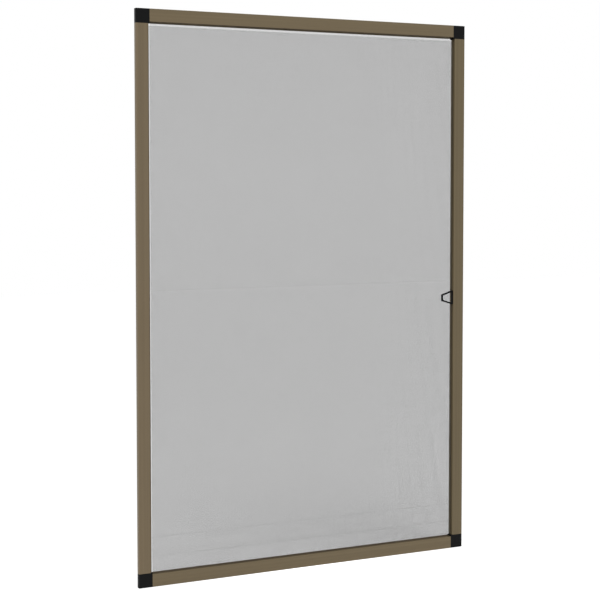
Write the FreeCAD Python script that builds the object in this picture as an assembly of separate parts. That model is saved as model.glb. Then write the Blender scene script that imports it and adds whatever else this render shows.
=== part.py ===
import FreeCAD, Part
import math
import os

# Insect screen for a window, in millimetres.
# Four extruded aluminium bars, cut square, plug onto four moulded corner connectors.
# A woven mesh is folded into a groove along the bars' inner edges and held there by
# soft splines, and a pull loop stands on the right stile.
# X runs to the right, Y from the front to the back and Z up. The origin lies under
# the middle of the bottom edge, halfway through the frame's thickness.

# Overall size
frame_width = 800.0
frame_height = 1200.0
frame_depth = 10.0

# Extruded bar: a hollow chamber behind the front face, and a groove open to the front
face_width = 26.4
bar_wall = 1.0
groove_width = 2.8
groove_lip = 0.8
groove_mouth_depth = 6.0
outer_edge_radius = 0.6
inner_edge_radius = 0.3
chamber_radius = 0.4

# Corner connector
leg_length = 38.0
leg_clearance = 0.15
leg_web = 1.6
leg_rib = 1.6
leg_pockets = 3
leg_tip_chamfer = 2.0
grip_rib_width = 1.2
block_wall = 2.0
block_skin = 2.2
block_rib = 1.5
block_corner_radius = 1.0
tongue_length = 6.0
tongue_height = 2.4
tongue_thickness = 2.2

# Woven mesh, as a coarse grid: ribs between openings, with thread ridges on the ribs
mesh_thickness = 0.3
mesh_rib = 30.0
gap_columns = 8
gap_rows = 12
threads_per_rib = 3
thread_pitch = 9.0
thread_width = 1.2
thread_height = 0.2

# Spline
spline_below_mouth = 0.2
spline_radius = 0.7
spline_end_gap = 0.5

# Pull handle
handle_height = 581.0
handle_front_depth = 1.7
handle_thickness = 3.5
handle_base_length = 31.4
handle_tip_length = 14.8
handle_reach = 30.2
handle_bar = 3.4
handle_corner_radius = 0.7
handle_chamfer = 0.7
tail_thickness = 0.7
tail_clearance = 0.1

# How near to a plane an edge lies to count as on it
nearly = 0.01

# Sizes that follow from the ones above
bar_width = face_width + groove_width + groove_lip
groove_floor = frame_depth - bar_wall
front = -frame_depth / 2
mesh_front = groove_mouth_depth - mesh_thickness
foot_top = groove_floor - mesh_thickness
hem_start = face_width + groove_width - mesh_thickness
spline_top = groove_mouth_depth + spline_below_mouth
rail_length = frame_width - 2 * bar_width
stile_length = frame_height - 2 * bar_width

right = FreeCAD.Vector(1, 0, 0)
back = FreeCAD.Vector(0, 1, 0)
up = FreeCAD.Vector(0, 0, 1)


class Side:
    """One side of the frame: where its bar starts, which way is inward, and where it runs."""

    def __init__(self, start, inward, along, length):
        self.start = start
        self.inward = inward
        self.along = along
        self.length = length

    def point(self, inset, depth, run=0.0):
        """A point at a distance from the outer edge, behind the front face and along the bar."""
        return self.start + self.inward * inset + back * depth + self.along * run


left_x = -frame_width / 2
right_x = frame_width / 2
sides = {
    "bottom": Side(FreeCAD.Vector(left_x + bar_width, front, 0), up, right, rail_length),
    "top": Side(FreeCAD.Vector(left_x + bar_width, front, frame_height), -up, right, rail_length),
    "left": Side(FreeCAD.Vector(left_x, front, bar_width), right, up, stile_length),
    "right": Side(FreeCAD.Vector(right_x, front, bar_width), -right, up, stile_length),
}
bar_names = {"bottom": "bottom_rail", "top": "top_rail", "left": "left_stile", "right": "right_stile"}


def rounded_wire(corners):
    """A closed outline through (point, radius) corners, each one rounded by an arc of its radius."""
    edges = []
    joints = []
    count = len(corners)
    for i, (corner, radius) in enumerate(corners):
        to_last = (corners[i - 1][0] - corner).normalize()
        to_next = (corners[(i + 1) % count][0] - corner).normalize()
        if radius == 0:
            joints.append((corner, corner))
            continue
        half_angle = to_last.getAngle(to_next) / 2
        cut_back = radius / math.tan(half_angle)
        to_centre = (to_last + to_next).normalize()
        nearest = corner + to_centre * (radius / math.sin(half_angle) - radius)
        start = corner + to_last * cut_back
        end = corner + to_next * cut_back
        edges.append(Part.Arc(start, nearest, end).toShape())
        joints.append((start, end))
    for i in range(count):
        leaving = joints[i][1]
        arriving = joints[(i + 1) % count][0]
        edges.append(Part.LineSegment(leaving, arriving).toShape())
    return Part.Wire(Part.__sortEdges__(edges))


def prism(corners, run):
    """A solid with a rounded outline for its section."""
    return Part.Face(rounded_wire(corners)).extrude(run)


def along_side(side, outline, inset_ends=0.0):
    """A solid that runs the length of a side, from a section of (inset, depth, radius) corners."""
    corners = [(side.point(u, v, inset_ends), r) for u, v, r in outline]
    return prism(corners, side.along * (side.length - 2 * inset_ends))


def box_between(one, other):
    """The upright box that has two points for opposite corners."""
    low = FreeCAD.Vector(min(one.x, other.x), min(one.y, other.y), min(one.z, other.z))
    high = FreeCAD.Vector(max(one.x, other.x), max(one.y, other.y), max(one.z, other.z))
    size = high - low
    return Part.makeBox(size.x, size.y, size.z, low)


def bar(side):
    """The aluminium extrusion: a closed chamber, then the groove and its low inner lip."""
    outline = [
        (0, 0, outer_edge_radius),
        (face_width, 0, inner_edge_radius),
        (face_width, groove_floor, 0),
        (face_width + groove_width, groove_floor, 0),
        (face_width + groove_width, groove_mouth_depth, 0),
        (bar_width, groove_mouth_depth, 0),
        (bar_width, frame_depth, inner_edge_radius),
        (0, frame_depth, outer_edge_radius),
    ]
    chamber = [
        (bar_wall, bar_wall, chamber_radius),
        (face_width - bar_wall, bar_wall, chamber_radius),
        (face_width - bar_wall, frame_depth - bar_wall, chamber_radius),
        (bar_wall, frame_depth - bar_wall, chamber_radius),
    ]
    return along_side(side, outline).cut(along_side(side, chamber))


def spread(low, high, count, rib):
    """Equal spans between low and high with a rib between each two, as (start, end) pairs."""
    span = (high - low - (count - 1) * rib) / count
    return [(low + i * (span + rib), low + i * (span + rib) + span) for i in range(count)]


def leg(side):
    """A leg that fills one bar's chamber: a web with pockets on both faces, and grip ribs."""
    low = bar_wall + leg_clearance
    high = face_width - bar_wall - leg_clearance
    near = bar_wall + leg_clearance
    far = frame_depth - bar_wall - leg_clearance
    taper = high - low - 2 * leg_tip_chamfer
    tip = leg_length - leg_tip_chamfer
    corners = [
        side.point(low, near, -block_skin),
        side.point(low, near, tip),
        side.point(low + leg_tip_chamfer, near, leg_length),
        side.point(low + leg_tip_chamfer + taper, near, leg_length),
        side.point(high, near, tip),
        side.point(high, near, -block_skin),
    ]
    solid = Part.Face(Part.makePolygon(corners + corners[:1])).extrude(back * (far - near))
    middle = (near + far) / 2
    pockets = []
    for start, end in spread(leg_rib, tip - leg_rib, leg_pockets, leg_rib):
        for outer, inner in ((near, middle - leg_web / 2), (middle + leg_web / 2, far)):
            one = side.point(low + leg_rib, outer, start)
            other = side.point(high - leg_rib, inner, end)
            pockets.append(box_between(one, other))
    grips = []
    grip_inset = chamber_radius + grip_rib_width / 2
    for inset in (low + grip_inset, high - grip_inset):
        for skin, wall in ((near, bar_wall), (far, frame_depth - bar_wall)):
            toward = math.copysign(leg_web / 2, middle - skin)
            one = side.point(inset - grip_rib_width / 2, wall, leg_rib)
            other = side.point(inset + grip_rib_width / 2, skin + toward, tip - leg_rib)
            grips.append(box_between(one, other))
    return solid.cut(Part.makeCompound(pockets)).multiFuse(grips)


def block():
    """The square block of the bottom left corner, flush with the bars and cored from behind."""
    low = FreeCAD.Vector(left_x, front, 0)
    solid = Part.makeBox(bar_width, frame_depth, bar_width, low)
    outer_corner = []
    for edge in solid.Edges:
        box = edge.BoundBox
        if box.XMax < left_x + nearly and box.ZMax < nearly:
            outer_corner.append(edge)
    solid = solid.makeFillet(block_corner_radius, outer_corner)
    reach = block_corner_radius + nearly
    rounded = []
    for edge in solid.Edges:
        box = edge.BoundBox
        on_outside = box.XMin < left_x + nearly and box.XMax < left_x + reach
        on_underside = box.ZMin < nearly and box.ZMax < reach
        if box.YLength < nearly and (on_outside or on_underside):
            rounded.append(edge)
    solid = solid.makeFillet(outer_edge_radius, rounded)
    pockets = []
    for x_start, x_end in spread(block_wall, bar_width - block_wall, 2, block_rib):
        for z_start, z_end in spread(block_wall, bar_width - block_wall, 2, block_rib):
            one = low + FreeCAD.Vector(x_start, block_skin, z_start)
            other = low + FreeCAD.Vector(x_end, frame_depth, z_end)
            pockets.append(box_between(one, other))
    return solid.cut(Part.makeCompound(pockets))


def connector(with_tongue):
    """The bottom left corner connector: the block, its two legs and, if asked for, the tongue."""
    pieces = [leg(sides["bottom"]), leg(sides["left"])]
    if with_tongue:
        root = FreeCAD.Vector(left_x + bar_width - block_wall / 2, front, bar_width - groove_lip)
        one = root + back * (mesh_front - thread_height - tongue_thickness)
        other = FreeCAD.Vector(
            left_x + bar_width + tongue_length,
            front + mesh_front - thread_height,
            bar_width + tongue_height,
        )
        pieces.append(box_between(one, other))
    return block().multiFuse(pieces).removeSplitter()


def connectors():
    """The four connectors, mirrored from the bottom left one; the right pair has tongues."""
    plain = connector(False)
    tongued = connector(True).mirror(FreeCAD.Vector(0, 0, 0), right)
    half_height = FreeCAD.Vector(0, 0, frame_height / 2)
    return {
        "connector_bottom_left": plain,
        "connector_top_left": plain.mirror(half_height, up),
        "connector_bottom_right": tongued,
        "connector_top_right": tongued.mirror(half_height, up),
    }


def thread_places(length, gaps):
    """The middles of the threads: a few, at the pitch, on each rib between two openings."""
    cell = length / gaps
    half_bundle = (threads_per_rib - 1) * thread_pitch / 2
    places = []
    for rib in range(1, gaps):
        first = rib * cell - half_bundle
        places += [first + i * thread_pitch for i in range(threads_per_rib)]
    return places


def ribbed_half(start, axis, places, length, outer, run):
    """Half of the mesh's thickness, a comb in section: a flat strip with a ridge for each thread."""
    points = [axis * 0, outer]
    ridge = outer * (thread_height / outer.Length)
    for middle in places:
        before = axis * (middle - thread_width / 2) + outer
        after = axis * (middle + thread_width / 2) + outer
        points += [before, before + ridge, after + ridge, after]
    points += [axis * length + outer, axis * length]
    points = [start + point for point in points]
    return Part.Face(Part.makePolygon(points + points[:1])).extrude(run)


def mesh_gaps(low, high):
    """The grid of openings between two corners, with half a rib left round them all."""
    half_rib = mesh_rib / 2
    gaps = []
    for x_start, x_end in spread(low.x + half_rib, high.x - half_rib, gap_columns, mesh_rib):
        for z_start, z_end in spread(low.z + half_rib, high.z - half_rib, gap_rows, mesh_rib):
            one = FreeCAD.Vector(x_start, low.y, z_start)
            other = FreeCAD.Vector(x_end, high.y, z_end)
            gaps.append(box_between(one, other))
    return Part.makeCompound(gaps)


def insect_mesh():
    """The woven mesh: warp ridges in front, weft ridges behind, and a hem down into each groove."""
    low = FreeCAD.Vector(left_x + bar_width, front, bar_width)
    high = FreeCAD.Vector(right_x - bar_width, front + frame_depth, frame_height - bar_width)
    middle = low + back * (mesh_front + mesh_thickness / 2)
    half = back * (mesh_thickness / 2)
    columns = thread_places(rail_length, gap_columns)
    rows = thread_places(stile_length, gap_rows)
    warp = ribbed_half(middle, right, columns, rail_length, -half, up * stile_length)
    weft = ribbed_half(middle, up, rows, stile_length, half, right * rail_length)
    hem = [
        (bar_width, mesh_front, 0),
        (hem_start, mesh_front, 0),
        (hem_start, foot_top, 0),
        (face_width, foot_top, 0),
        (face_width, groove_floor, 0),
        (face_width + groove_width, groove_floor, 0),
        (face_width + groove_width, groove_mouth_depth, 0),
        (bar_width, groove_mouth_depth, 0),
    ]
    hems = [along_side(side, hem) for side in sides.values()]
    sheet = warp.multiFuse([weft] + hems).removeSplitter()
    return sheet.cut(mesh_gaps(low, high))


def spline(side):
    """The soft strip that fills the groove beside the mesh's hem."""
    outline = [
        (face_width, spline_top, spline_radius),
        (hem_start, spline_top, spline_radius),
        (hem_start, foot_top, 0),
        (face_width, foot_top, 0),
    ]
    return along_side(side, outline, spline_end_gap)


def tail(clearance):
    """The handle's thin tail, pinched between the right stile's chamber and its spline."""
    side = sides["right"]
    middle = handle_height - bar_width
    half = handle_base_length / 2
    one = side.point(face_width, handle_front_depth + handle_thickness / 2, middle - half - clearance)
    other = side.point(face_width + tail_thickness + clearance, foot_top, middle + half + clearance)
    return box_between(one, other)


def pull_handle():
    """The trapezoid pull loop, its base flat against the stile and its tail down in the groove."""
    side = sides["right"]
    middle = handle_height - bar_width
    half_base = handle_base_length / 2
    half_tip = handle_tip_length / 2
    slope = (half_base - half_tip) / (handle_reach - handle_bar)
    arm = handle_bar * math.hypot(1, slope)
    base = face_width
    shoulder = base + handle_bar
    tip = base + handle_reach
    inner_base = half_base - arm
    inner_tip = half_base - slope * (handle_reach - 2 * handle_bar) - arm
    outside = [
        (base, -half_base, 0),
        (base, half_base, 0),
        (shoulder, half_base, handle_bar / 2),
        (tip, half_tip, handle_bar / 2),
        (tip, -half_tip, handle_bar / 2),
        (shoulder, -half_base, handle_bar / 2),
    ]
    inside = [
        (shoulder, -inner_base, handle_corner_radius),
        (shoulder, inner_base, handle_corner_radius),
        (tip - handle_bar, inner_tip, handle_corner_radius),
        (tip - handle_bar, -inner_tip, handle_corner_radius),
    ]
    run = back * handle_thickness
    loops = []
    for outline in (outside, inside):
        corners = [(side.point(u, handle_front_depth, middle + w), r) for u, w, r in outline]
        loops.append(prism(corners, run))
    loop = loops[0].cut(loops[1])
    base_plane = side.point(face_width, 0).x
    front_plane = front + handle_front_depth
    rims = []
    for edge in loop.Edges:
        box = edge.BoundBox
        at_front = abs(box.YMin - front_plane) < nearly and box.YLength < nearly
        if at_front and box.XMin < base_plane - nearly:
            rims.append(edge)
    loop = loop.makeChamfer(handle_chamfer, rims)
    return loop.fuse(tail(0)).removeSplitter()


def build():
    """Every piece of the screen by its name."""
    pieces = {bar_names[name]: bar(side) for name, side in sides.items()}
    pieces.update(connectors())
    pieces["insect_mesh"] = insect_mesh()
    for name, side in sides.items():
        pieces[name + "_spline"] = spline(side)
    pieces["right_spline"] = pieces["right_spline"].cut(tail(tail_clearance))
    pieces["pull_handle"] = pull_handle()
    return pieces


os.makedirs("parts", exist_ok=True)
for name, shape in build().items():
    shape.exportStep("parts/" + name + ".step")
    print(name, "solids", len(shape.Solids), "valid", shape.isValid(), "volume", round(shape.Volume, 1))
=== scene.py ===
# %% [markdown]
# # An insect screen for a window
# The screen is a flat, upright thing: four painted aluminium bars, four black corner
# connectors, a woven mesh and a small pull loop. Its exact shapes come from the solid
# model, which is loaded as a fixed frame, in metres. Here its pieces get their finishes,
# and the two that the solid model only hints at, the mesh and the cord that holds it, are
# modelled in full.

# %% Load the solid model and keep its box
import math

import bpy
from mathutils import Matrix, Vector


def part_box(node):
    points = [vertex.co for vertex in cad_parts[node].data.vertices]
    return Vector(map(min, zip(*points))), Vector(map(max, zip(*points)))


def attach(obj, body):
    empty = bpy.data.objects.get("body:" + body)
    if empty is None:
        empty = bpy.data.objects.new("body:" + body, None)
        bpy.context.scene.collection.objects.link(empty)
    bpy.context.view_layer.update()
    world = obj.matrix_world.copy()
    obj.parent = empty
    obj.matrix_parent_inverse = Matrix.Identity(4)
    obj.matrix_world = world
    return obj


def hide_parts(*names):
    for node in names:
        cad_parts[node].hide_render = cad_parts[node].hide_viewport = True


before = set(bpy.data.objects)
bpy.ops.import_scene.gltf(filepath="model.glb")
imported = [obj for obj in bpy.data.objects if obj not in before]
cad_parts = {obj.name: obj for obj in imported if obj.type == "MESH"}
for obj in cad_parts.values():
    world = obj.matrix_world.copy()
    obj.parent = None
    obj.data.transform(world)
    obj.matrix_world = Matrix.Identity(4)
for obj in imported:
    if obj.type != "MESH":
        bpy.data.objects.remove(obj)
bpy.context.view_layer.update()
solid = {name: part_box(name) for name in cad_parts}


# %% [markdown]
# ## The camera
# A photograph fixes its camera: the corners of the frame and the width of its bars give
# the place, the direction and the lens. It could be set by eye, but a fit to the corners
# is surer and brings them within three pixels. The camera stands out to the left of the
# frame, looks to the right and a little down, and a small shift of the lens keeps the bars
# nearly upright. A larger shift would make them fully so, but other views keep the shift
# and would then cut the frame. Depth of field stays off.

# %% Place the camera
image_width = 600
focal_pixels = 1519.7
sensor_width = 36.0
lens_shift = -0.055
camera_place = (-1.5416, -2.9283, 0.8458)
look_right = math.radians(27.45)
look_down = math.radians(3.21)
camera_data = bpy.data.cameras.new("camera")
camera_data.sensor_width = sensor_width
camera_data.lens = focal_pixels * sensor_width / image_width
camera_data.shift_y = lens_shift
camera = bpy.data.objects.new("camera", camera_data)
camera.location = camera_place
camera.rotation_euler = (math.pi / 2 - look_down, 0.0, -look_right)
bpy.context.collection.objects.link(camera)
bpy.context.scene.camera = camera
print("lens", round(camera_data.lens, 1), "mm, shift", lens_shift)


# %% [markdown]
# ## The mesh
# On the real screen the mesh is woven from coated glass-fibre yarn. Warp threads run up,
# weft threads run across, and the coating melts them together where they cross. The
# sheet's edge is folded over the low lip of each bar and down into its groove.
# A pattern of holes painted on one flat sheet would be quicker, but real threads catch
# the light, look open from the front and close up seen from the side, as these do.
# First the opening is measured from the bars, so the mesh fits whatever size they have.

# %% Measure the opening that the mesh fills
x_low = solid["left_stile"][1].x
x_high = solid["right_stile"][0].x
z_low = solid["bottom_rail"][1].z
z_high = solid["top_rail"][0].z
front = solid["left_stile"][0].y
set_back = 0.00585
mesh_depth = front + set_back
print("opening", round(x_high - x_low, 4), "by", round(z_high - z_low, 4))


# %% [markdown]
# ### One thread, then a row
# A thread could be a cylinder, pulled round the fold by hand. A curve with a round bevel
# is simpler here: it follows its points and keeps its thickness at each bend. It is then
# made a mesh, its end caps are merged to it so the tube is closed, and an Array modifier
# repeats it. There are over a thousand threads, so each one has few faces.

# %% A helper that draws a row of threads
tube_resolution = 1
merge_distance = 1e-6


def thread(name, points, radius, spacing, count):
    """A row of equal threads: a bevelled curve made a mesh, then repeated along spacing."""
    curve = bpy.data.curves.new(name, "CURVE")
    curve.dimensions = "3D"
    curve.bevel_depth = radius
    curve.bevel_resolution = tube_resolution
    curve.use_fill_caps = True
    run = curve.splines.new("POLY")
    run.points.add(len(points) - 1)
    for place, point in zip(run.points, points):
        place.co = (*point, 1.0)
    row = bpy.data.objects.new(name, curve)
    bpy.context.collection.objects.link(row)
    bpy.ops.object.select_all(action="DESELECT")
    row.select_set(True)
    bpy.context.view_layer.objects.active = row
    bpy.ops.object.convert(target="MESH")
    row = bpy.context.object
    bpy.ops.object.mode_set(mode="EDIT")
    bpy.ops.mesh.select_all(action="SELECT")
    bpy.ops.mesh.remove_doubles(threshold=merge_distance)
    bpy.ops.object.mode_set(mode="OBJECT")
    repeat = row.modifiers.new("repeat", "ARRAY")
    repeat.use_relative_offset = False
    repeat.use_constant_offset = True
    repeat.constant_offset_displace = spacing
    repeat.count = count
    bpy.ops.object.modifier_apply(modifier=repeat.name)
    return row


# %% [markdown]
# ### The fold
# Each thread passes over the lip, turns down beside the cord and runs under it along the
# groove's floor. The ends could be left straight, because the cord hides them, but the
# folded edge is what holds a real screen, and it shows beside the lip.

# %% A helper that gives a thread its folded ends
over_lip = 0.00095
down_groove = 0.0029
under_cord = 0.0024
bend = 0.0003


def folded(low, high, depth):
    """Points (place on the span, depth) of a thread that folds into the groove at both ends."""
    floor_depth = depth + down_groove
    return [
        (low - over_lip - under_cord, floor_depth),
        (low - over_lip, floor_depth),
        (low - over_lip, depth + bend),
        (low - over_lip + bend, depth),
        (high + over_lip - bend, depth),
        (high + over_lip, depth + bend),
        (high + over_lip, floor_depth),
        (high + over_lip + under_cord, floor_depth),
    ]


# %% [markdown]
# ### Warp and weft
# Two rows of threads cross each other: the warp upright, the weft across. They could pass
# over and under in turn, but that waviness is smaller than a thread, so the two rows stay
# straight and lie a little apart in depth. Beside the bars the rolling tool drags the
# outermost threads into the groove: one on each side, one below, and three above, where a
# pale strip under the top rail shows that only the warp crosses it. They are left out.

# %% Set up the warp
thread_pitch = 0.0014
thread_radius = 0.000245
stagger = 0.00006
missing_beside = 1
columns = int((x_high - x_low) / thread_pitch)
side_margin = (x_high - x_low - (columns - 1) * thread_pitch) / 2
first_warp = x_low + side_margin + missing_beside * thread_pitch
warp_count = columns - 2 * missing_beside
warp = thread(
    "insect_screen",
    [(first_warp, depth, z) for z, depth in folded(z_low, z_high, mesh_depth - stagger)],
    thread_radius,
    (thread_pitch, 0.0, 0.0),
    warp_count,
)
print("warp threads", warp_count)

# %% Lay the weft across it
missing_below = 1
missing_above = 3
first_weft = z_low + (missing_below + 0.5) * thread_pitch
weft_count = int((z_high - z_low) / thread_pitch) - missing_below - missing_above
weft_run = folded(x_low, x_high, mesh_depth + stagger)
weft = thread(
    "weft",
    [(x, depth, first_weft) for x, depth in weft_run],
    thread_radius,
    (0.0, 0.0, thread_pitch),
    weft_count,
)
print("weft threads", weft_count)

# %% [markdown]
# ### Two thicker picks
# Cloth from a loom has a thick thread here and there. The photograph shows two, faint dark
# lines near the bottom. They could be drawn in the yarn's colour, but a thicker thread
# closes the mesh a little, and that is what makes the line. Each one is laid over the
# regular thread nearest to its height.

# %% Lay in the thicker picks
pick_heights = (0.0635, 0.1040)
pick_radius = 1.35 * thread_radius
thick_picks = []
for height in pick_heights:
    pick = first_weft + round((height - first_weft) / thread_pitch) * thread_pitch
    points = [(x, depth, pick) for x, depth in weft_run]
    thick_picks.append(thread("thick_pick", points, pick_radius, (0.0, 0.0, 0.0), 1))
print("thick picks", len(thick_picks))

# %% [markdown]
# ### One sheet
# The rows could stay separate, but the real mesh is one cloth, cut to one size. So they
# become one piece.

bpy.ops.object.select_all(action="DESELECT")
for row in [weft, warp] + thick_picks:
    row.select_set(True)
bpy.context.view_layer.objects.active = warp
bpy.ops.object.join()
screen = bpy.context.object
screen.name = "insect_screen"
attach(screen, "root")
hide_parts("insect_mesh")
print("mesh faces", len(screen.data.polygons))


# %% [markdown]
# ## The spline
# A soft ribbed cord, called the spline, is rolled into each groove and pins the mesh. It
# could be drawn as an outline and extruded. Here it starts as a cylinder that lies in the
# groove, because that has its place and length at once. Every second line of its points is
# drawn in towards the middle, which leaves ten ribs, and the ribs are shaded smooth.

# %% A helper that makes one ribbed cord
ribs = 10
rib_valley = 0.86
rib_step = 180 / ribs
smooth_below = math.radians(50)


def ribbed_cord(name, node_name, length_axis):
    """A ribbed cord in the place of a solid spline, along axis 0 (across) or 2 (up)."""
    low, high = solid[node_name]
    centre = (low + high) / 2
    length = (high - low)[length_axis]
    width_axis = 2 - length_axis
    radius = (high - low)[width_axis] / 2
    turn = (0.0, math.pi / 2, 0.0) if length_axis == 0 else (0.0, 0.0, 0.0)
    bpy.ops.object.select_all(action="DESELECT")
    bpy.ops.mesh.primitive_cylinder_add(
        vertices=2 * ribs, radius=radius, depth=length, location=centre, rotation=turn
    )
    cord = bpy.context.object
    cord.name = name
    for vertex in cord.data.vertices:
        angle = math.degrees(math.atan2(vertex.co.y, vertex.co.x))
        vertex.select = round(angle / rib_step) % 2 == 1
    bpy.ops.object.mode_set(mode="EDIT")
    bpy.ops.mesh.select_mode(type="VERT")
    draw_in = [rib_valley] * 3
    draw_in[length_axis] = 1.0
    bpy.ops.transform.resize(value=draw_in, center_override=centre)
    bpy.ops.object.mode_set(mode="OBJECT")
    bpy.ops.object.transform_apply(location=True, rotation=True, scale=True)
    bpy.ops.object.shade_smooth_by_angle(angle=smooth_below)
    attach(cord, "root")
    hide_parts(node_name)
    return cord


# %% Roll in the four cords
cords = {
    "top": ribbed_cord("top_cord", "top_spline", 0),
    "bottom": ribbed_cord("bottom_cord", "bottom_spline", 0),
    "left": ribbed_cord("left_cord", "left_spline", 2),
    "right": ribbed_cord("right_cord", "right_spline", 2),
}
print("cords", len(cords), "faces each", len(cords["top"].data.polygons))

# %% [markdown]
# ### Room for the loop's tail
# The cord in the right stile shares its groove with the tail of the pull loop, which
# presses it flatter there. A second, thinner cord could fill that length, but a real one
# runs through. So four cuts are made round it, two at the tail's ends and one a little
# beyond each, and the part between the inner two is made narrower, towards the lip. The
# short lengths next to it become slopes.

# %% Press the right cord narrower beside the tail
tail_low = solid["pull_handle"][0].z
tail_high = solid["pull_handle"][1].z
lip_side = solid["right_spline"][0].x
lead_in = 0.002
pressed = 0.68
nearly = 1e-5
bpy.ops.object.select_all(action="DESELECT")
cords["right"].select_set(True)
bpy.context.view_layer.objects.active = cords["right"]
bpy.ops.object.mode_set(mode="EDIT")
for cut in (tail_low - lead_in, tail_low, tail_high, tail_high + lead_in):
    bpy.ops.mesh.select_all(action="SELECT")
    bpy.ops.mesh.bisect(plane_co=(0.0, 0.0, cut), plane_no=(0.0, 0.0, 1.0))
bpy.ops.mesh.select_all(action="DESELECT")
bpy.ops.object.mode_set(mode="OBJECT")
for vertex in cords["right"].data.vertices:
    vertex.select = tail_low - nearly < vertex.co.z < tail_high + nearly
bpy.ops.object.mode_set(mode="EDIT")
bpy.ops.transform.resize(value=(pressed, 1.0, 1.0), center_override=(lip_side, 0.0, 0.0))
bpy.ops.object.mode_set(mode="OBJECT")
print("right cord faces", len(cords["right"].data.polygons))


# %% [markdown]
# ## Finishes
# Paint, plastic, rubber and yarn all have a fine grain, and a soft mottle that keeps them
# from being one flat colour. Drawn and rolled things also have streaks along their length.
# Each finish could have its own noise nodes, but they would all be alike. So there is one
# node group, built once and placed in each finish with its own values. It puts out values
# only, and every finish has its own shader. The patterns follow Object coordinates, which
# are the real place in metres, so a scale of 900 is grain of about 1 mm.

# %% Helpers for materials
def srgb(red, green, blue):
    """A colour given in 0 to 255 steps, as the screen shows it, made linear."""
    steps = [c / 255 for c in (red, green, blue)]
    return [c / 12.92 if c <= 0.04045 else ((c + 0.055) / 1.055) ** 2.4 for c in steps] + [1.0]


def new_material(name):
    """A node material with a Principled shader: the material, its node tree and the shader."""
    material = bpy.data.materials.new(name)
    material.use_nodes = True
    tree = material.node_tree
    shader = next(node for node in tree.nodes if node.type == "BSDF_PRINCIPLED")
    return material, tree, shader


def math_node(tree, operation, first, second):
    """A Math node of two inputs, each a socket or a number, and its output."""
    node = tree.nodes.new("ShaderNodeMath")
    node.operation = operation
    for socket, value in zip(node.inputs, (first, second)):
        if isinstance(value, float):
            socket.default_value = value
        else:
            tree.links.new(value, socket)
    return node.outputs[0]


# %% The parts of the grain group
def noise(tree, vector, scale, detail):
    """A noise texture of a given detail, read at a vector socket and a scale socket."""
    texture = tree.nodes.new("ShaderNodeTexNoise")
    texture.inputs["Detail"].default_value = detail
    tree.links.new(vector, texture.inputs["Vector"])
    tree.links.new(scale, texture.inputs["Scale"])
    return texture.outputs["Fac"]


def weighed(tree, value, weight):
    """A noise measured from its middle, a half, and multiplied by a weight."""
    return math_node(tree, "MULTIPLY", math_node(tree, "SUBTRACT", value, 0.5), weight)


# %% Build the grain group
group_inputs = {
    "Grain Scale": 700.0,
    "Mottle Scale": 9.0,
    "Streak Scale": 150.0,
    "Mottle": 0.06,
    "Speckle": 0.05,
    "Streak": 0.0,
    "Ridge": 0.0,
}
group = bpy.data.node_groups.new("skin_grain", "ShaderNodeTree")
interface = group.interface
socket = interface.new_socket("Along", in_out="INPUT", socket_type="NodeSocketVector")
socket.default_value = (1.0, 1.0, 1.0)
for name, value in group_inputs.items():
    socket = interface.new_socket(name, in_out="INPUT", socket_type="NodeSocketFloat")
    socket.default_value = value
for name in ("Height", "Shade"):
    interface.new_socket(name, in_out="OUTPUT", socket_type="NodeSocketFloat")
given = group.nodes.new("NodeGroupInput").outputs
made = group.nodes.new("NodeGroupOutput").inputs
where = group.nodes.new("ShaderNodeTexCoord").outputs["Object"]
drawn = group.nodes.new("ShaderNodeVectorMath")
drawn.operation = "MULTIPLY"
group.links.new(where, drawn.inputs[0])
group.links.new(given["Along"], drawn.inputs[1])
grain_detail = 2.0
cloud_detail = 4.0
streak_detail = 3.0
grain = noise(group, where, given["Grain Scale"], grain_detail)
cloud = noise(group, where, given["Mottle Scale"], cloud_detail)
streak = noise(group, drawn.outputs[0], given["Streak Scale"], streak_detail)
height = math_node(group, "ADD", grain, weighed(group, streak, given["Ridge"]))
group.links.new(height, made["Height"])
shade = math_node(group, "ADD", weighed(group, cloud, given["Mottle"]), 1.0)
shade = math_node(group, "ADD", shade, weighed(group, grain, given["Speckle"]))
shade = math_node(group, "ADD", shade, weighed(group, streak, given["Streak"]))
group.links.new(shade, made["Shade"])
print("group", group.name, "with", len(group.nodes), "nodes")


# %% [markdown]
# ### From a colour to a finish
# A finish is its colour times the group's shade, a roughness that wavers with the grain,
# and a bump from the grain's height. Each could be wired by hand, but a helper wires them
# all alike and leaves only their values to choose. What is the same all over, such as the
# strength of the gloss, is set on the shader itself.

# %% A helper that makes a finish
roughness_waver = 0.06


def finish(name, colour, roughness, gloss, bump, bump_distance, **grain_values):
    """A finish with a mottled colour and a grained skin."""
    material, tree, shader = new_material(name)
    skin = tree.nodes.new("ShaderNodeGroup")
    skin.node_tree = group
    for key, value in grain_values.items():
        skin.inputs[key.replace("_", " ")].default_value = value
    tint = tree.nodes.new("ShaderNodeVectorMath")
    tint.operation = "SCALE"
    tint.inputs[0].default_value = colour[:3]
    tree.links.new(skin.outputs["Shade"], tint.inputs["Scale"])
    tree.links.new(tint.outputs[0], shader.inputs["Base Color"])
    relief = tree.nodes.new("ShaderNodeBump")
    relief.inputs["Strength"].default_value = bump
    relief.inputs["Distance"].default_value = bump_distance
    tree.links.new(skin.outputs["Height"], relief.inputs["Height"])
    tree.links.new(relief.outputs["Normal"], shader.inputs["Normal"])
    rough = tree.nodes.new("ShaderNodeMapRange")
    rough.inputs["To Min"].default_value = roughness - roughness_waver
    rough.inputs["To Max"].default_value = roughness + roughness_waver
    tree.links.new(skin.outputs["Height"], rough.inputs["Value"])
    tree.links.new(rough.outputs["Result"], shader.inputs["Roughness"])
    shader.inputs["Specular IOR Level"].default_value = gloss
    return material


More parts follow.
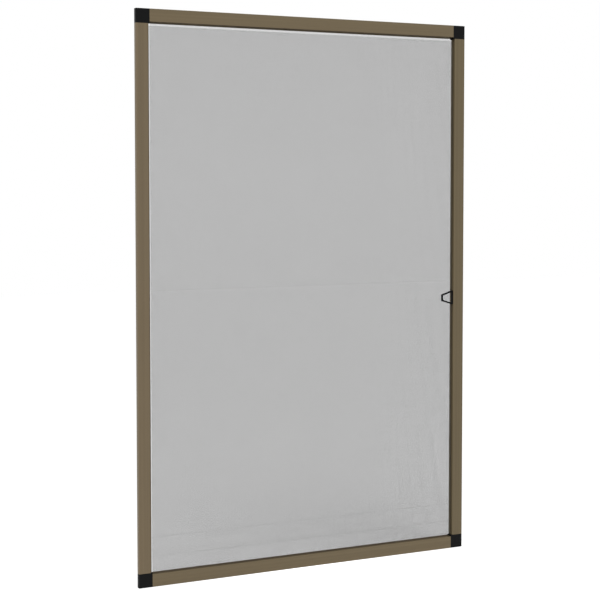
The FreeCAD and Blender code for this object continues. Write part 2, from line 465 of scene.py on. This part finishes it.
def dress(node_name, material):
    """Puts a material in the first slot of a solid piece's object."""
    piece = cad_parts[node_name]
    piece.material_slots[0].link = "OBJECT"
    piece.material_slots[0].material = material


# %% [markdown]
# ### Bronze powder coat
# The bars are extruded, then powder coated a satin bronze brown. The powder melts into a
# skin with a slight orange peel, and the die's fine lines run along the bar under it. A
# picture of paint could be wrapped round the bars, but noise needs no picture, keeps its
# scale on any bar and can be drawn out. The rails run across and the stiles run up, so the
# streaks follow each one's own length. The right stile is painted a little darker and warmer
# than the left one, and the rails lie between: this is painted shade, for light that falls
# off towards the right. So the finish is made three times.

# %% Coat the bars
streak_stretch = 0.004
across = (streak_stretch, 1.0, 1.0)
upward = (1.0, 1.0, streak_stretch)
# The three bronzes are painted shade: the right stile's darker and warmer one stands for less
# light there, and the rails' lies between.
bar_coats = (
    ("rails", ("top_rail", "bottom_rail"), srgb(110, 97, 74), across),
    ("left", ("left_stile",), srgb(113, 99, 77), upward),
    ("right", ("right_stile",), srgb(104, 92, 69), upward),
)
for title, names, bronze, along in bar_coats:
    coat = finish(
        "bronze_coat_painted_shade_" + title,
        bronze,
        roughness=0.46,
        gloss=0.25,
        bump=0.22,
        bump_distance=0.0002,
        Along=along,
        Grain_Scale=900.0,
        Mottle_Scale=6.0,
        Streak_Scale=170.0,
        Mottle=0.10,
        Speckle=0.14,
        Streak=0.5,
        Ridge=0.4,
    )
    for name in names:
        dress(name, coat)
    print(coat.name, "on", names)

# %% [markdown]
# ### Black mouldings
# The connectors and the pull loop come out of a spark-eroded mould, which leaves an even,
# fine grain. One black could do for both, but fingers polish the loop a little, so it has
# its own, less rough. Neither black is quite zero, as no plastic is.

# %% Finish the connectors and the loop
black = finish(
    "black_moulding",
    srgb(13, 13, 13),
    roughness=0.55,
    gloss=0.1,
    bump=0.35,
    bump_distance=0.00012,
    Grain_Scale=2600.0,
    Mottle=0.16,
    Speckle=0.2,
)
corners = ("top_left", "top_right", "bottom_left", "bottom_right")
for corner in corners:
    dress("connector_" + corner, black)
loop_black = finish(
    "loop_moulding",
    srgb(9, 9, 9),
    roughness=0.42,
    gloss=0.1,
    bump=0.2,
    bump_distance=0.0001,
    Grain_Scale=2600.0,
    Mottle=0.12,
    Speckle=0.15,
)
dress("pull_handle", loop_black)
print("black mouldings", len(corners), "connectors and the loop")

# %% [markdown]
# ### Soft cord
# The cord is matte, dark and slightly brown. Its ribs are in the mesh, because they are
# large enough to catch the light. The finish only adds what is finer: a dull skin with
# dust-fine streaks along the length. The two colours are lit and shaded copies of one cord:
# the rails' lighter one is painted light in their grooves, the stiles' darker one painted
# shade.

# %% Finish the cords
# Painted light and shade: the rails' cord is lighter for the light in their grooves, the
# stiles' darker for the shade in theirs.
cord_coats = (
    (("top", "bottom"), srgb(104, 94, 78), across),
    (("left", "right"), srgb(72, 65, 54), upward),
)
for names, brown, along in cord_coats:
    rubber = finish(
        "cord_rubber_painted_light_and_shade_" + names[0],
        brown,
        roughness=0.68,
        gloss=0.3,
        bump=0.4,
        bump_distance=0.0001,
        Along=along,
        Grain_Scale=1800.0,
        Streak_Scale=1400.0,
        Mottle=0.1,
        Speckle=0.2,
        Streak=0.3,
        Ridge=1.0,
    )
    for name in names:
        cords[name].data.materials.append(rubber)
    print(rubber.name, "on", names)

# %% [markdown]
# ### Yarn
# The coated yarn is a dark grey with a dull shine. Its fibres could be modelled or given a
# strong bump, but a thread is half a millimetre thick and seldom seen so close. A slight
# speckle and a soft mottle are enough to keep a thousand equal threads from looking
# printed.

# %% Finish the mesh
yarn = finish(
    "coated_yarn",
    srgb(52, 52, 53),
    roughness=0.6,
    gloss=0.2,
    bump=0.2,
    bump_distance=0.00005,
    Grain_Scale=4000.0,
    Mottle_Scale=5.0,
    Mottle=0.12,
    Speckle=0.2,
)
screen.data.materials.append(yarn)
print("yarn on", len(screen.data.polygons), "faces")


# %% [markdown]
# ## Floor
# The photograph has a plain white ground. The floor is a sheet of pale paper that keeps the
# frame's shadow. A backdrop curved up behind it would hide its far edge, but would stand in
# the way of views from behind. So the sheet is flat, and wide enough for the edge to be lost
# in the white. It lies a hair below the frame, so the two surfaces never share a plane.

# %% Lay the floor
floor_size = 16.0
floor_drop = 0.0002
paper_white = 0.86
paper_roughness = 0.9
paper_gloss = 0.1
bpy.ops.object.select_all(action="DESELECT")
bpy.ops.mesh.primitive_plane_add(size=floor_size, location=(0.0, 0.0, -floor_drop))
floor = bpy.context.object
floor.name = "floor"
paper, tree, shader = new_material("white_paper")
shader.inputs["Base Color"].default_value = (paper_white, paper_white, paper_white, 1.0)
shader.inputs["Roughness"].default_value = paper_roughness
shader.inputs["Specular IOR Level"].default_value = paper_gloss
floor.data.materials.append(paper)
print("floor", floor_size, "m wide")

# %% [markdown]
# ### As white as the background
# Lit paper is never quite as white as an empty background. More light would mend that, but
# would bleach the frame too. So the paper glows a little, only for the camera and for
# reflections. The glow is stronger near the frame, whose shadow on the paper would otherwise
# darken the mesh in front of it. It falls with the square of the distance, to which a reach
# is added so that it stays mild at the frame. Steps sideways count for less, because the
# frame is wide and thin.

# %% Let the floor glow for the camera
glow_far = 0.08
glow_gain = 0.185
glow_reach = 0.51
sideways = 0.65
path = tree.nodes.new("ShaderNodeLightPath").outputs
seen = math_node(tree, "MAXIMUM", path["Is Camera Ray"], path["Is Glossy Ray"])
place = tree.nodes.new("ShaderNodeTexCoord").outputs["Object"]
squeezed = tree.nodes.new("ShaderNodeVectorMath")
squeezed.operation = "MULTIPLY"
squeezed.inputs[1].default_value = (sideways, 1.0, 1.0)
tree.links.new(place, squeezed.inputs[0])
distance = tree.nodes.new("ShaderNodeVectorMath")
distance.operation = "LENGTH"
tree.links.new(squeezed.outputs[0], distance.inputs[0])
away = math_node(tree, "ADD", distance.outputs["Value"], glow_reach)
fade = math_node(tree, "DIVIDE", glow_gain, math_node(tree, "POWER", away, 2.0))
lift = math_node(tree, "ADD", fade, glow_far)
glow = math_node(tree, "MULTIPLY", seen, lift)
shader.inputs["Emission Color"].default_value = (1.0, 1.0, 1.0, 1.0)
tree.links.new(glow, shader.inputs["Emission Strength"])
print("glow", round(glow_far + glow_gain / glow_reach**2, 2), "near,", glow_far, "far")

# %% [markdown]
# ## Background and light
# What the camera sees of the world is plain white, strength 1, while the light it gives is
# softer, so colours come out about as written. A white wall behind the frame could do the
# same, but it would catch the shadow too.

# %% Light the world
ambient = 0.62
world = bpy.data.worlds.new("white_room")
bpy.context.scene.world = world
world.use_nodes = True
tree = world.node_tree
tree.nodes.clear()
output = tree.nodes.new("ShaderNodeOutputWorld")
ground = tree.nodes.new("ShaderNodeBackground")
ground.inputs["Color"].default_value = (1.0, 1.0, 1.0, 1.0)
path = tree.nodes.new("ShaderNodeLightPath").outputs
mirrored = math_node(tree, "MAXIMUM", path["Is Glossy Ray"], path["Is Transmission Ray"])
seen = math_node(tree, "MAXIMUM", path["Is Camera Ray"], mirrored)
strength = tree.nodes.new("ShaderNodeMapRange")
strength.inputs["To Min"].default_value = ambient
strength.inputs["To Max"].default_value = 1.0
tree.links.new(seen, strength.inputs["Value"])
tree.links.new(strength.outputs["Result"], ground.inputs["Strength"])
tree.links.new(ground.outputs[0], output.inputs["Surface"])
print("ambient light", ambient)

# %% [markdown]
# ### One soft sun
# A wide, soft sun from the front left adds direction. Lamps near the frame would do so as
# well, but they light the floor in patches, and these show through the mesh. A sun lights
# the whole floor evenly, and its steep light keeps the shadow short.

# %% Hang the sun
sun_strength = 1.65
sun_spread = 50.0
sun_direction = Vector((0.28, 0.42, -0.86))
sun_light = bpy.data.lights.new("key", "SUN")
sun_light.energy = sun_strength
sun_light.angle = math.radians(sun_spread)
sun = bpy.data.objects.new("key", sun_light)
sun.rotation_euler = sun_direction.to_track_quat("-Z", "Y").to_euler()
bpy.context.collection.objects.link(sun)
print("sun", sun_strength, "spread", sun_spread, "degrees")

# %% [markdown]
# ## Colours as written
# The Standard view shows colours as they are written.

# %% Show colours as written
bpy.context.scene.view_settings.view_transform = "Standard"
